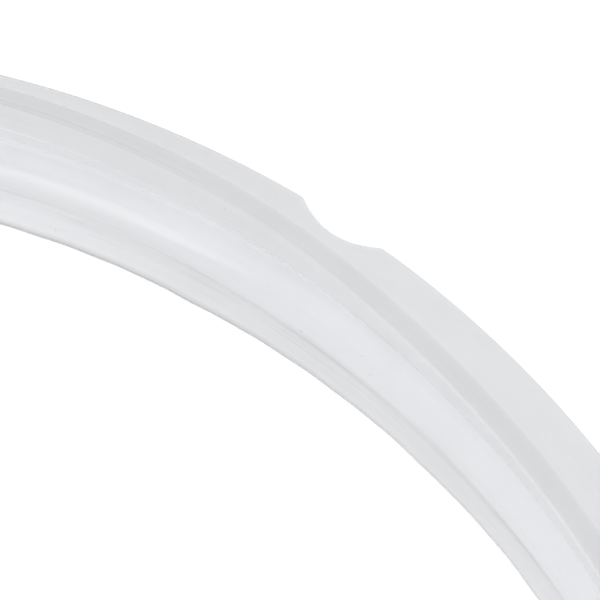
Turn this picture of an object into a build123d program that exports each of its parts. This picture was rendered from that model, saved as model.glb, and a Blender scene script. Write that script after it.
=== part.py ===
"""Sealing ring of a pressure cooker: one moulded silicone ring with a half-moon notch in its skirt.

Millimetres, +Z up. The ring's axis is Z, the resting plane is Z = 0, and the notch faces -Y.
The section is an arch: a crown that goes up into the lid's channel, a skirt that flares outwards
from it, an upright inner wall with a groove between the two, and a lip that falls inwards from the
wall's foot to a round bead, on which the ring rests. In use the skirt bears on the lid's rolled
edge and the lip on the pot's rim, and steam in the groove presses both against the metal.
"""

import os
from math import atan2, cos, sin, sqrt, tan

from build123d import *

# ---------------------------------------------------------------- driving dimensions
outer_diameter = 230.0  # over the skirt's lower edge, the widest place
clear_diameter = 200.6  # through the bead, the narrowest place

bead_diameter = 2.2  # round edge of the lip
bead_land = 0.8  # height of the straight band round the bead's inside

skirt_edge_height = 3.4  # the skirt's lower edge above the resting plane
skirt_height = 7.1  # from that edge up to the crown's outer corner
skirt_flare = 3.45  # how far the skirt reaches outwards over that height
skirt_thickness = 1.5
skirt_land = 0.7  # height of the straight band round the widest place

crown_width = 2.05  # sloping top of the crown, from its outer corner in to its peak
crown_rise = 1.5
shoulder_width = 1.6  # slope from the peak down to the step in the inner wall
shoulder_drop = 3.55
wall_drop = 3.75  # upright part of the inner wall, from the step down to the lip
wall_thickness = 1.6

lip_reach = 5.4  # from the wall's foot in to the lip's bend
lip_fall = 1.25
lip_thickness = 1.8

groove_height = 8.8  # top of the groove above the resting plane

notch_depth = 1.75  # in plan, from the widest place inwards; the skirt's flare makes it a tall bite
notch_cutter_diameter = 15.6  # round cutter with an upright axis; the bite is 9.6 wide

edge_radius = 0.25  # moulded corners
crown_radius = 0.4
root_radius = 0.5  # hollow corner between the wall and the lip
groove_radius = 0.5
bend_radius = 2.0  # where the lip turns down to the bead

# ---------------------------------------------------------------- points (radius, height)
outer_radius = outer_diameter / 2
clear_radius = clear_diameter / 2
bead_radius = bead_diameter / 2


def inwards_and_up(point, inwards, up):
    """The point that lies so far towards the axis and so far above another."""
    return (point[0] - inwards, point[1] + up)


skirt_edge = (outer_radius, skirt_edge_height)
land_top = inwards_and_up(skirt_edge, 0.0, skirt_land)
crown_outer = inwards_and_up(skirt_edge, skirt_flare, skirt_height)
crown_peak = inwards_and_up(crown_outer, crown_width, crown_rise)
step_edge = inwards_and_up(crown_peak, shoulder_width, -shoulder_drop)
lip_root = inwards_and_up(step_edge, 0.0, -wall_drop)
lip_bend = inwards_and_up(lip_root, lip_reach, -lip_fall)
bead_centre = (clear_radius + bead_radius, bead_radius)

# Where the lip's falling end touches the bead.
fall_angle = atan2(lip_bend[1] - bead_centre[1], lip_bend[0] - bead_centre[0])
fall_length = sqrt((lip_bend[0] - bead_centre[0]) ** 2 + (lip_bend[1] - bead_centre[1]) ** 2)
touch_angle = fall_angle + atan2(sqrt(fall_length**2 - bead_radius**2), bead_radius)
bead_touch = (
    bead_centre[0] + bead_radius * cos(touch_angle),
    bead_centre[1] + bead_radius * sin(touch_angle),
)

lip_slope = lip_fall / lip_reach
wall_outside = lip_root[0] + wall_thickness
wall_foot = (wall_outside, lip_root[1] + wall_thickness * lip_slope - lip_thickness)
lip_under_reach = wall_thickness + lip_reach
lip_under_bend = inwards_and_up(wall_foot, lip_under_reach, -lip_slope * lip_under_reach)

skirt_lean = atan2(skirt_flare, skirt_height - skirt_land)  # away from upright
skirt_inside = skirt_thickness / cos(skirt_lean)
groove_rise = groove_height - land_top[1]
groove_outer = inwards_and_up(land_top, skirt_inside + groove_rise * tan(skirt_lean), groove_rise)
groove_inner = (wall_outside, groove_height)
skirt_foot = inwards_and_up(skirt_edge, skirt_inside - skirt_land * tan(skirt_lean), 0.0)

# The cutter comes in from outside, over -Y.
notch_cutter_radius = notch_cutter_diameter / 2
notch_centre = (0, notch_depth - outer_radius - notch_cutter_radius)

# ---------------------------------------------------------------- the section
with BuildSketch(Plane.XZ) as section:
    with BuildLine():
        Polyline(
            skirt_edge,
            land_top,
            crown_outer,
            crown_peak,
            step_edge,
            lip_root,
            lip_bend,
            bead_touch,
            bead_centre,
            lip_under_bend,
            wall_foot,
            groove_inner,
            groove_outer,
            skirt_foot,
            close=True,
        )
    make_face()
    for corner in (crown_outer, step_edge, skirt_foot, wall_foot):
        fillet(section.vertices().sort_by_distance(corner)[0], edge_radius)
    fillet(section.vertices().sort_by_distance(crown_peak)[0], crown_radius)
    fillet(section.vertices().sort_by_distance(lip_root)[0], root_radius)
    fillet(section.vertices().sort_by_distance(lip_bend)[0], bend_radius)
    for corner in (groove_inner, groove_outer):
        fillet(section.vertices().sort_by_distance(corner)[0], groove_radius)
    with Locations(bead_centre):
        Circle(bead_radius)
    with Locations((clear_radius + bead_radius / 2, bead_radius)):
        Rectangle(bead_radius, bead_land)

# ---------------------------------------------------------------- the ring
with BuildPart() as sealing_ring:
    add(section.sketch)
    revolve(axis=Axis.Z)
    with BuildSketch(Plane.XY):
        with Locations(notch_centre):
            Circle(notch_cutter_radius)
    extrude(amount=crown_peak[1], mode=Mode.SUBTRACT)

sealing_ring.part.label = "sealing_ring"

os.makedirs("parts", exist_ok=True)
export_step(sealing_ring.part, "parts/sealing_ring.step")

box = sealing_ring.part.bounding_box()
print("size mm", round(box.size.X, 3), round(box.size.Y, 3), round(box.size.Z, 3))
print("solids", len(sealing_ring.part.solids()), "volume cm3", round(sealing_ring.part.volume / 1000, 3))
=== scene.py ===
"""Looks of a pressure cooker's sealing ring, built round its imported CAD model.

The ring is milky, translucent silicone. Its section is swept round the axis in mesh code with the
moulded roundings, and the half-moon notch is made by lifting the skirt's lower edge. The ring is
taken to be soft and not quite flat: near the notch its section twists by up to about 24 degrees.
The frame is the CAD model's: +Z up, the ring's axis on Z, the notch towards -Y, in metres. The
section is written in millimetres.
"""

import math

import bpy
from mathutils import Matrix, Vector


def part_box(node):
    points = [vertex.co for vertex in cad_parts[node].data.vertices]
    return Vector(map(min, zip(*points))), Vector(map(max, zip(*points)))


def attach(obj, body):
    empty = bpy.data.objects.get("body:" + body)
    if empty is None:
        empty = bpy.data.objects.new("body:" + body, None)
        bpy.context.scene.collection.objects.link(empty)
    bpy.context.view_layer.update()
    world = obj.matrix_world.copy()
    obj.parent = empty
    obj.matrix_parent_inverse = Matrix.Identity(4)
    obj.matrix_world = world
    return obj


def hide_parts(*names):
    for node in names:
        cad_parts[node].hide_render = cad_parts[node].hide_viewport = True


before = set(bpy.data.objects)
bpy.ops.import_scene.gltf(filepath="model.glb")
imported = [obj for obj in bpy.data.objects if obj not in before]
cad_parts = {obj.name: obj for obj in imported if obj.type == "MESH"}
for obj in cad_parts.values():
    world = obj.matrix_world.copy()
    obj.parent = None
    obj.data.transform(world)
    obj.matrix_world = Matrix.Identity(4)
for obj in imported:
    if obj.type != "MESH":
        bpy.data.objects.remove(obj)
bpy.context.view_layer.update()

MM = 0.001
RING_NODE = "sealing_ring"
ring_low, ring_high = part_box(RING_NODE)
OUTER_RADIUS = (ring_high[0] - ring_low[0]) / 2 / MM

# ------------------------------------------------------------------ section, in mm
# (inwards is negative, height) from the skirt's lower edge
SKIRT_EDGE = (0.0, 0.0)
CROWN_OUTER = (-3.47, 7.1)
CROWN_PEAK = (-5.51, 8.6)
STEP_EDGE = (-7.1, 5.05)
LIP_ROOT = (-7.0, 1.3)
LIP_BEND = (-12.45, 0.03)
BEAD_CENTRE = (-13.55, -2.27)
BEAD_RADIUS = 1.1
BEAD_END_ANGLE = 372  # where the bead's round meets the lip's underside
BEAD_STEPS = 14
LIP_UNDER_BEND = (-12.5, -1.75)
WALL_FOOT = (-5.5, -0.15)
GROOVE_INNER = (-5.5, 5.4)
GROOVE_OUTER = (-4.25, 5.4)
SKIRT_FOOT = (-1.35, 0.0)
LIP_BULGE = 0.3  # the lip's top is slightly rounded across
POINT_SPACING = 1.7  # of the points inside a flat face
EDGE_GAP = 0.1  # from a rounding to the face's first point
SHORTEST_FACE = 0.6  # a shorter face gets no points of its own

# A tone is painted shade and light: it says how dark the silicone looks, 0 is light, 1 is dark. Its shift
# is the change towards a strong twist. Both are set to give the photograph's greys, and not from a
# thickness: the higher tones paint shade on the skirt, the crown, the step, the lip's bend and both edges,
# and the lowest paint light into the lip's root against the shade of its corner. The skirt's large
# shift is painted shade that makes up for its reflection at the photograph's camera, and shows as a
# darker patch from the side.
# The painted shade's shift: near the notch it follows the twist, and elsewhere it holds at a rest value.
PAINTED_SHADE_TWIST = 8.0
PAINTED_SHADE_REST = 0.7  # the part of the shift that holds away from the notch
PAINTED_SHADE_FADE = (21.0, 34.0)  # degrees from the notch, over which that part takes over
TOP_CORNERS = [
    # corner, rounding, steps, painted shades along the rounding, their shift, painted shades along the
    # next face, shift
    (SKIRT_EDGE, 0.22, 4, (1.26, 1.20), -0.30, (0.98, 0.97), -0.49),
    (CROWN_OUTER, 0.35, 5, (0.74, 0.72), -0.10, (0.71, 0.71), -0.09),
    (CROWN_PEAK, 0.3, 5, (0.86, 0.86), -0.13, (0.68, 0.66), 0.06),
    (STEP_EDGE, 0.12, 5, (0.57, 0.60), 0.70, (0.62, 0.38), 0.08),
    (LIP_ROOT, 0.5, 5, (0.16, 0.12), 0.06, (0.23, 0.52), -0.05),
    (LIP_BEND, 2.2, 8, (0.51, 0.52), 0.12, (0.46, 0.44), 0.18),
]
# The bead's painted shades: light where the lip's fall meets it, then dark painted shade round the inner
# edge; and their shift with the twist.
BEAD_PAINTED_SHADES = (0.50, 1.40)
BEAD_PAINTED_SHADE_STEPS = 3
BEAD_PAINTED_SHADE_SHIFT = 0.2
UNDER_BEAD_PAINTED_SHADES = (0.4, 0.4)
# Painted shades of the underside, listed like those of the top.
UNDER_CORNERS = [
    (LIP_UNDER_BEND, 0.4, 3, (0.4, 0.4), 0.0, (0.3, 0.3), 0.0),
    (WALL_FOOT, 0.3, 3, (0.5, 0.5), 0.0, (0.6, 0.6), 0.0),
    (GROOVE_INNER, 0.5, 4, (0.75, 0.75), 0.0, (0.75, 0.75), 0.0),
    (GROOVE_OUTER, 0.5, 4, (0.75, 0.75), 0.0, (0.6, 0.6), 0.0),
    (SKIRT_FOOT, 0.25, 3, (0.6, 0.6), 0.0, (0.7, 0.7), 0.0),
]

CREASE_SHADE_FADE = (0.7, 1.9)  # mm from the lip's bend over which the painted shade of its fine creases fades out
LIGHT_COLOUR = (0.797, 0.803, 0.820)  # at a painted shade of 0
PAINTED_SHADE_SHARE = 0.6  # of the light colour, at a painted shade of 1

# ------------------------------------------------------------------ notch, in mm
NOTCH_HALF_WIDTH = 4.85
NOTCH_DEPTH = 4.42  # along the skirt
NOTCH_CORNER = 0.12  # softness where the notch meets the edge

# ------------------------------------------------------------------ how the soft ring lies
# The twist, in degrees, leans the crown inwards. It is written about a centre azimuth, measured from
# the notch, clockwise from above.
TWIST_CENTRE = 1.9
TWIST_MEAN = 10.47
TWIST_STEP = 2.93
TWIST_STEP_WIDTH = 5.8
TWIST_SWING = 31.67
# waves of the inner edge: size in mm, number round the ring, phase
EDGE_WAVES = ((0.03, 23, 0.4), (0.025, 41, 1.9), (0.015, 67, 4.0), (0.015, 113, 2.2))
WAVE_START = LIP_BEND[0] - 0.6
WAVE_RUN_IN = 1.2

# Mesh stations round the ring: (azimuth where the zone ends, steps in it), on both sides of the notch
NOTCH_ZONE = (2.62, 48)
NEAR_ZONE = (24.0, 100)
FAR_ZONE = (180.0, 260)

# ------------------------------------------------------------------ camera, as seen from the ring
CAMERA_AZIMUTH = 56.38  # of the notch, from the camera's far side
CAMERA_ELEVATION = 80.16
CAMERA_DISTANCE = 917.5
CAMERA_YAW = 22.39
CAMERA_PITCH = 75.53
CAMERA_ROLL = 0.06
CAMERA_LENS = 554.05

# ------------------------------------------------------------------ floor and light, in metres
FLOOR_SIZE = 30
FLOOR_HEIGHT = -0.0002
FLOOR_GREY = 0.95
FLOOR_GLOW = 0.22  # keeps the floor white right up to the ring
WORLD_STRENGTH = 1.042
KEY_PLACE = (-0.3, 0.3, 1.1)
KEY_SIZE = 0.8
KEY_POWER = 1
# The strip lies where the lip mirrors it to the camera, on the stretch left of the notch.
LIP_MIDDLE = (0.006, -0.103, 0.004)
STRIP_FIRST = (0.089, 0.03, 1.0)
STRIP_LAST = (0.150, 0.44, 1.0)
STRIP_WIDTH = 0.035
STRIP_RADIANCE = 46.0


def arc_points(before, corner, after, radius, steps):
    """Points of the arc that rounds a corner of an outline."""
    a, c, b = Vector(before), Vector(corner), Vector(after)
    to_a, to_b = (a - c).normalized(), (b - c).normalized()
    half = to_a.angle(to_b) / 2
    reach = radius / math.tan(half)
    centre = c + (to_a + to_b).normalized() * (radius / math.sin(half))
    start, end = (c + to_a * reach - centre).normalized(), (c + to_b * reach - centre).normalized()
    return [centre + start.slerp(end, i / steps) * radius for i in range(steps + 1)]


def bead_points():
    """Points round the bead, from where the lip's fall touches it."""
    fall = Vector(LIP_BEND) - Vector(BEAD_CENTRE)
    first = math.degrees(math.atan2(fall.y, fall.x) + math.acos(BEAD_RADIUS / fall.length))
    angles = (
        math.radians(first + (BEAD_END_ANGLE - first) * i / BEAD_STEPS) for i in range(BEAD_STEPS + 1)
    )
    return [Vector(BEAD_CENTRE) + BEAD_RADIUS * Vector((math.cos(a), math.sin(a))) for a in angles]


def smooth(value, low, high):
    """0 below low, 1 above high, and an even ease between them."""
    t = min(1.0, max(0.0, (value - low) / (high - low)))
    return t * t * (3 - 2 * t)


def blend(pair, t):
    """The value at a part of the way between two."""
    return pair[0] + (pair[1] - pair[0]) * t


def rounded(corners, before, after):
    """Each corner's rounding as (points with painted shades, corner, painted shades and shift of the next
    face).
    """
    places = [before] + [row[0] for row in corners] + [after]
    result = []
    for i, (corner, radius, steps, painted_shades, shift, *face) in enumerate(corners):
        arc = arc_points(places[i], corner, places[i + 2], radius, steps)
        result.append(([(p, blend(painted_shades, k / steps), shift) for k, p in enumerate(arc)], corner, *face))
    return result


def face_points(start, end, painted_shades, shift, bulge):
    """Points of a flat or slightly bulging face: one close to each end, the others spread evenly."""
    length = (end - start).length
    if length < SHORTEST_FACE:
        return []
    inner = max(1, round(length / POINT_SPACING))
    spots = [EDGE_GAP / length] + [k / (inner + 1) for k in range(1, inner + 1)] + [1 - EDGE_GAP / length]
    out = Vector((end.y - start.y, start.x - end.x)).normalized() * 4 * bulge
    return [(start.lerp(end, t) + out * t * (1 - t), blend(painted_shades, t), shift) for t in spots]


def outline():
    """The section in order, as (point, painted shade, shift of the painted shade with the twist)."""
    bead = [
        (p, blend(BEAD_PAINTED_SHADES, smooth(i, 0, BEAD_PAINTED_SHADE_STEPS)), BEAD_PAINTED_SHADE_SHIFT)
        for i, p in enumerate(bead_points())
    ]
    parts = rounded(TOP_CORNERS, SKIRT_FOOT, bead[0][0])
    parts.append((bead, BEAD_CENTRE, UNDER_BEAD_PAINTED_SHADES, 0.0))
    parts += rounded(UNDER_CORNERS, BEAD_CENTRE, SKIRT_EDGE)
    section = []
    for (points, corner, painted_shades, shift), following in zip(parts, parts[1:] + parts[:1]):
        bulge = LIP_BULGE if corner == LIP_ROOT else 0.0
        section += points
        section += face_points(points[-1][0], following[0][0][0], painted_shades, shift, bulge)
    return section


def notch_rise(along):
    """How far the skirt's lower edge is lifted at a distance along it from the notch's middle."""
    height = NOTCH_DEPTH * (1 - (along / NOTCH_HALF_WIDTH) ** 2)
    if height < -3 * NOTCH_CORNER:
        return 0.0
    return (height + math.hypot(height, NOTCH_CORNER)) / 2


def stations():
    """Azimuths round the ring, in degrees from -180, closer together near the notch."""
    side = []
    start = 0.0
    for end, steps in (NOTCH_ZONE, NEAR_ZONE, FAR_ZONE):
        side += [start + (end - start) * i / steps for i in range(1, steps + 1)]
        start = end
    return [-a for a in reversed(side)] + [0.0] + side[:-1]


def twist(azimuth):
    """The section's twist at an azimuth, in radians."""
    away = (azimuth - TWIST_CENTRE + 180) % 360 - 180
    swing = TWIST_SWING * math.sin(math.radians(2 * away)) / 2
    step = TWIST_STEP * math.tanh(away / TWIST_STEP_WIDTH)
    return math.radians((TWIST_MEAN + step + swing) * math.cos(math.radians(away / 2)) ** 4)


def painted_shade_turn(azimuth, turn):
    """The part of the painted shades' shift at an azimuth: from the twist near the notch, even elsewhere.
    """
    twisted = 1 - math.exp(-math.degrees(turn) / PAINTED_SHADE_TWIST)
    return blend((twisted, PAINTED_SHADE_REST), smooth(abs(azimuth), *PAINTED_SHADE_FADE))


def edge_wave(azimuth):
    """How far the inner edge is off its circle at an azimuth."""
    return sum(size * math.sin(math.radians(azimuth) * turns + phase) for size, turns, phase in EDGE_WAVES)


def build_ring():
    """The whole ring as one mesh, with painted shade and painted crease shade attributes and a UV map of
    lengths in metres.
    """
    section = outline()
    count = len(section)
    edge = Vector(SKIRT_EDGE)
    pivot = (edge + Vector(BEAD_CENTRE)) / 2
    skirt_up = (Vector(CROWN_OUTER) - edge).normalized()
    lifted_length = (Vector(GROOVE_OUTER) - edge).dot(skirt_up)
    azimuths = stations()
    vertices, painted_shades, crease_shades = [], [], []
    for azimuth in azimuths:
        where = math.radians(azimuth)
        rise = notch_rise(where * OUTER_RADIUS)
        wave = edge_wave(azimuth)
        turn = twist(azimuth)
        spin = Matrix.Rotation(turn, 2)
        lift = BEAD_RADIUS - (pivot + spin @ (Vector(BEAD_CENTRE) - pivot)).y
        turned = painted_shade_turn(azimuth, turn)
        for point, painted_shade, shift in section:
            p = point.copy()
            if p.x > GROOVE_OUTER[0]:
                p += skirt_up * rise * max(0.0, 1 - (p - edge).dot(skirt_up) / lifted_length)
            p.x += wave * smooth(WAVE_START - p.x, 0.0, WAVE_RUN_IN)
            p = pivot + spin @ (p - pivot)
            radius = (OUTER_RADIUS + p.x) * MM
            vertices.append((-radius * math.sin(where), -radius * math.cos(where), (p.y + lift) * MM))
            # Painted shade and light for the point, shifted with the twist; and the share of painted
            # crease shade it takes.
            painted_shades.append(painted_shade + shift * turned)
            crease_shades.append(1 - smooth((point - Vector(LIP_BEND)).length, *CREASE_SHADE_FADE))

    run = [0.0]
    for i in range(count):
        run.append(run[-1] + (section[(i + 1) % count][0] - section[i][0]).length)
    faces, lengths = [], []
    for here, first in enumerate(azimuths):
        there = (here + 1) % len(azimuths)
        last = azimuths[there] if there else azimuths[0] + 360
        from_u, to_u = (math.radians(a) * OUTER_RADIUS * MM for a in (first, last))
        for i in range(count):
            j = (i + 1) % count
            faces.append((here * count + i, here * count + j, there * count + j, there * count + i))
            from_v, to_v = run[i] * MM, run[i + 1] * MM
            lengths += [from_u, from_v, from_u, to_v, to_u, to_v, to_u, from_v]

    mesh = bpy.data.meshes.new("ring_body")
    mesh.from_pydata(vertices, [], faces)
    mesh.update()
    mesh.attributes.new("painted_shade", "FLOAT", "POINT").data.foreach_set("value", painted_shades)
    mesh.attributes.new("crease_shade", "FLOAT", "POINT").data.foreach_set("value", crease_shades)
    mesh.uv_layers.new(name="lengths").data.foreach_set("uv", lengths)
    mesh.polygons.foreach_set("use_smooth", [True] * len(mesh.polygons))
    ring = bpy.data.objects.new("ring_body", mesh)
    bpy.context.scene.collection.objects.link(ring)
    return ring


def silicone():
    """Milky silicone: as dark as the mesh's painted shade and light says, with painted shade of fine
    creases near the lip's bend, and faint streaks, mottling and specks.
    """
    material = bpy.data.materials.new("silicone")
    material.use_nodes = True
    nodes, links = material.node_tree.nodes, material.node_tree.links
    shader = nodes["Principled BSDF"]
    shader.inputs["Roughness"].default_value = 0.16
    shader.inputs["Specular IOR Level"].default_value = 0.1
    shader.inputs["IOR"].default_value = 1.41
    shader.inputs["Subsurface Weight"].default_value = 1.0
    shader.inputs["Subsurface Radius"].default_value = (1.0, 1.0, 1.0)
    shader.inputs["Subsurface Scale"].default_value = 0.0007

    # The mesh's painted shade and light darkens the light colour, down to its dark share at a value of 1.
    painted_shade = nodes.new("ShaderNodeAttribute")
    painted_shade.attribute_name = "painted_shade"
    painted_shade_factor = nodes.new("ShaderNodeMapRange")
    painted_shade_factor.clamp = False
    painted_shade_factor.inputs["To Min"].default_value = 1.0
    painted_shade_factor.inputs["To Max"].default_value = PAINTED_SHADE_SHARE
    links.new(painted_shade.outputs["Fac"], painted_shade_factor.inputs["Value"])

    place = nodes.new("ShaderNodeTexCoord")

    def noise(source, scale, stretch, detail, low, high, to_low, to_high):
        """A noise pattern as a factor, from stretched coordinates."""
        mapping = nodes.new("ShaderNodeMapping")
        mapping.inputs["Scale"].default_value = stretch
        links.new(place.outputs[source], mapping.inputs["Vector"])
        pattern = nodes.new("ShaderNodeTexNoise")
        pattern.inputs["Scale"].default_value = scale
        pattern.inputs["Detail"].default_value = detail
        links.new(mapping.outputs["Vector"], pattern.inputs["Vector"])
        spread = nodes.new("ShaderNodeMapRange")
        spread.inputs["From Min"].default_value = low
        spread.inputs["From Max"].default_value = high
        spread.inputs["To Min"].default_value = to_low
        spread.inputs["To Max"].default_value = to_high
        links.new(pattern.outputs["Fac"], spread.inputs["Value"])
        return spread.outputs["Result"]

    def times(first, second):
        """The product of two factors."""
        product = nodes.new("ShaderNodeMath")
        product.operation = "MULTIPLY"
        links.new(first, product.inputs[0])
        links.new(second, product.inputs[1])
        return product.outputs["Value"]

    mottle = noise("Object", 130, (1, 1, 1), 4, 0.3, 0.7, 0.988, 1.010)
    streaks = noise("UV", 1, (45, 1900, 1), 2, 0.35, 0.65, 0.992, 1.007)
    fine_lines = noise("UV", 1, (160, 5200, 1), 1, 0.68, 0.76, 1.0, 0.982)
    specks = noise("Object", 2100, (1, 1, 1), 0, 0.86, 0.89, 1.0, 0.88)
    # Painted shade of fine creases, placed along the lip's bend by the mesh's crease attribute.
    crease_shades = noise("UV", 1, (70, 4200, 1), 2, 0.52, 0.70, 0.0, 0.07)
    crease_shade_place = nodes.new("ShaderNodeAttribute")
    crease_shade_place.attribute_name = "crease_shade"
    crease_shade_factor = nodes.new("ShaderNodeMath")
    crease_shade_factor.operation = "SUBTRACT"
    crease_shade_factor.inputs[0].default_value = 1.0
    links.new(times(crease_shades, crease_shade_place.outputs["Fac"]), crease_shade_factor.inputs[1])
    lines_and_crease_shade = times(fine_lines, crease_shade_factor.outputs["Value"])
    factor = times(times(mottle, streaks), times(lines_and_crease_shade, specks))
    colour = nodes.new("ShaderNodeVectorMath")
    colour.operation = "SCALE"
    colour.inputs[0].default_value = LIGHT_COLOUR
    links.new(times(painted_shade_factor.outputs["Result"], factor), colour.inputs["Scale"])
    links.new(colour.outputs["Vector"], shader.inputs["Base Color"])

    grain = nodes.new("ShaderNodeTexNoise")
    grain.inputs["Scale"].default_value = 2600
    grain.inputs["Detail"].default_value = 3
    links.new(place.outputs["Object"], grain.inputs["Vector"])
    bump = nodes.new("ShaderNodeBump")
    bump.inputs["Strength"].default_value = 0.12
    bump.inputs["Distance"].default_value = 0.00005
    links.new(grain.outputs["Fac"], bump.inputs["Height"])
    links.new(bump.outputs["Normal"], shader.inputs["Normal"])
    return material


ring = build_ring()
ring.data.materials.append(silicone())
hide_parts(RING_NODE)
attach(ring, "root")

# ------------------------------------------------------------------ floor, light and camera
floor_material = bpy.data.materials.new("floor")
floor_material.use_nodes = True
floor_shader = floor_material.node_tree.nodes["Principled BSDF"]
floor_shader.inputs["Base Color"].default_value = (FLOOR_GREY, FLOOR_GREY, FLOOR_GREY, 1)
floor_shader.inputs["Roughness"].default_value = 1.0
floor_shader.inputs["Specular IOR Level"].default_value = 0.0
floor_shader.inputs["Emission Color"].default_value = (1, 1, 1, 1)
floor_shader.inputs["Emission Strength"].default_value = FLOOR_GLOW
bpy.ops.mesh.primitive_plane_add(size=FLOOR_SIZE, location=(0, 0, FLOOR_HEIGHT))
floor = bpy.context.object
floor.name = "floor"
floor.data.materials.append(floor_material)

world = bpy.data.worlds.new("studio")
world.use_nodes = True
world.node_tree.nodes["Background"].inputs["Color"].default_value = (1, 1, 1, 1)
world.node_tree.nodes["Background"].inputs["Strength"].default_value = WORLD_STRENGTH
bpy.context.scene.world = world
bpy.context.scene.view_settings.view_transform = "Standard"


def softbox(name, place, target, width, depth, power):
    """A rectangular area light that faces a point."""
    data = bpy.data.lights.new(name, "AREA")
    data.shape = "RECTANGLE"
    data.size, data.size_y = width, depth
    data.energy = power
    light = bpy.data.objects.new(name, data)
    light.location = place
    light.rotation_euler = (Vector(target) - Vector(place)).to_track_quat("-Z", "Y").to_euler()
    bpy.context.scene.collection.objects.link(light)
    return light


def lip_strip():
    """A long strip light that the lip mirrors to the camera as a soft band."""
    start, end = Vector(STRIP_FIRST), Vector(STRIP_LAST)
    middle = (start + end) / 2
    length = (end - start).length
    power = math.pi * length * STRIP_WIDTH * STRIP_RADIANCE
    light = softbox("strip", middle, LIP_MIDDLE, length, STRIP_WIDTH, power)
    x_axis = (end - start).normalized()
    facing = middle - Vector(LIP_MIDDLE)
    z_axis = (facing - facing.dot(x_axis) * x_axis).normalized()
    light.rotation_euler = Matrix((x_axis, z_axis.cross(x_axis), z_axis)).transposed().to_euler()


def aim_camera():
    """The camera's place and rotation, worked out with the notch at its azimuth and turned to -Y."""
    elevation = math.radians(CAMERA_ELEVATION)
    yaw, pitch, roll = (math.radians(a) for a in (CAMERA_YAW, CAMERA_PITCH, CAMERA_ROLL))
    place = Vector((0, -math.cos(elevation), math.sin(elevation))) * CAMERA_DISTANCE * MM
    forward = Vector((math.sin(yaw) * math.cos(pitch), math.cos(yaw) * math.cos(pitch), -math.sin(pitch)))
    level_right = Vector((math.cos(yaw), -math.sin(yaw), 0))
    level_up = level_right.cross(forward)
    right = math.cos(roll) * level_right + math.sin(roll) * level_up
    up = math.cos(roll) * level_up - math.sin(roll) * level_right
    turn = Matrix.Rotation(math.radians(CAMERA_AZIMUTH - 180), 4, "Z")
    return turn @ Matrix.Translation(place) @ Matrix((right, up, -forward)).transposed().to_4x4()


softbox("key", KEY_PLACE, (0, 0, 0), KEY_SIZE, KEY_SIZE, KEY_POWER)
lip_strip()

camera_data = bpy.data.cameras.new("camera")
camera_data.lens = CAMERA_LENS
camera_data.sensor_width = 36
camera_data.clip_end = 100
camera = bpy.data.objects.new("camera", camera_data)
camera.matrix_world = aim_camera()
bpy.context.scene.collection.objects.link(camera)
bpy.context.scene.camera = camera
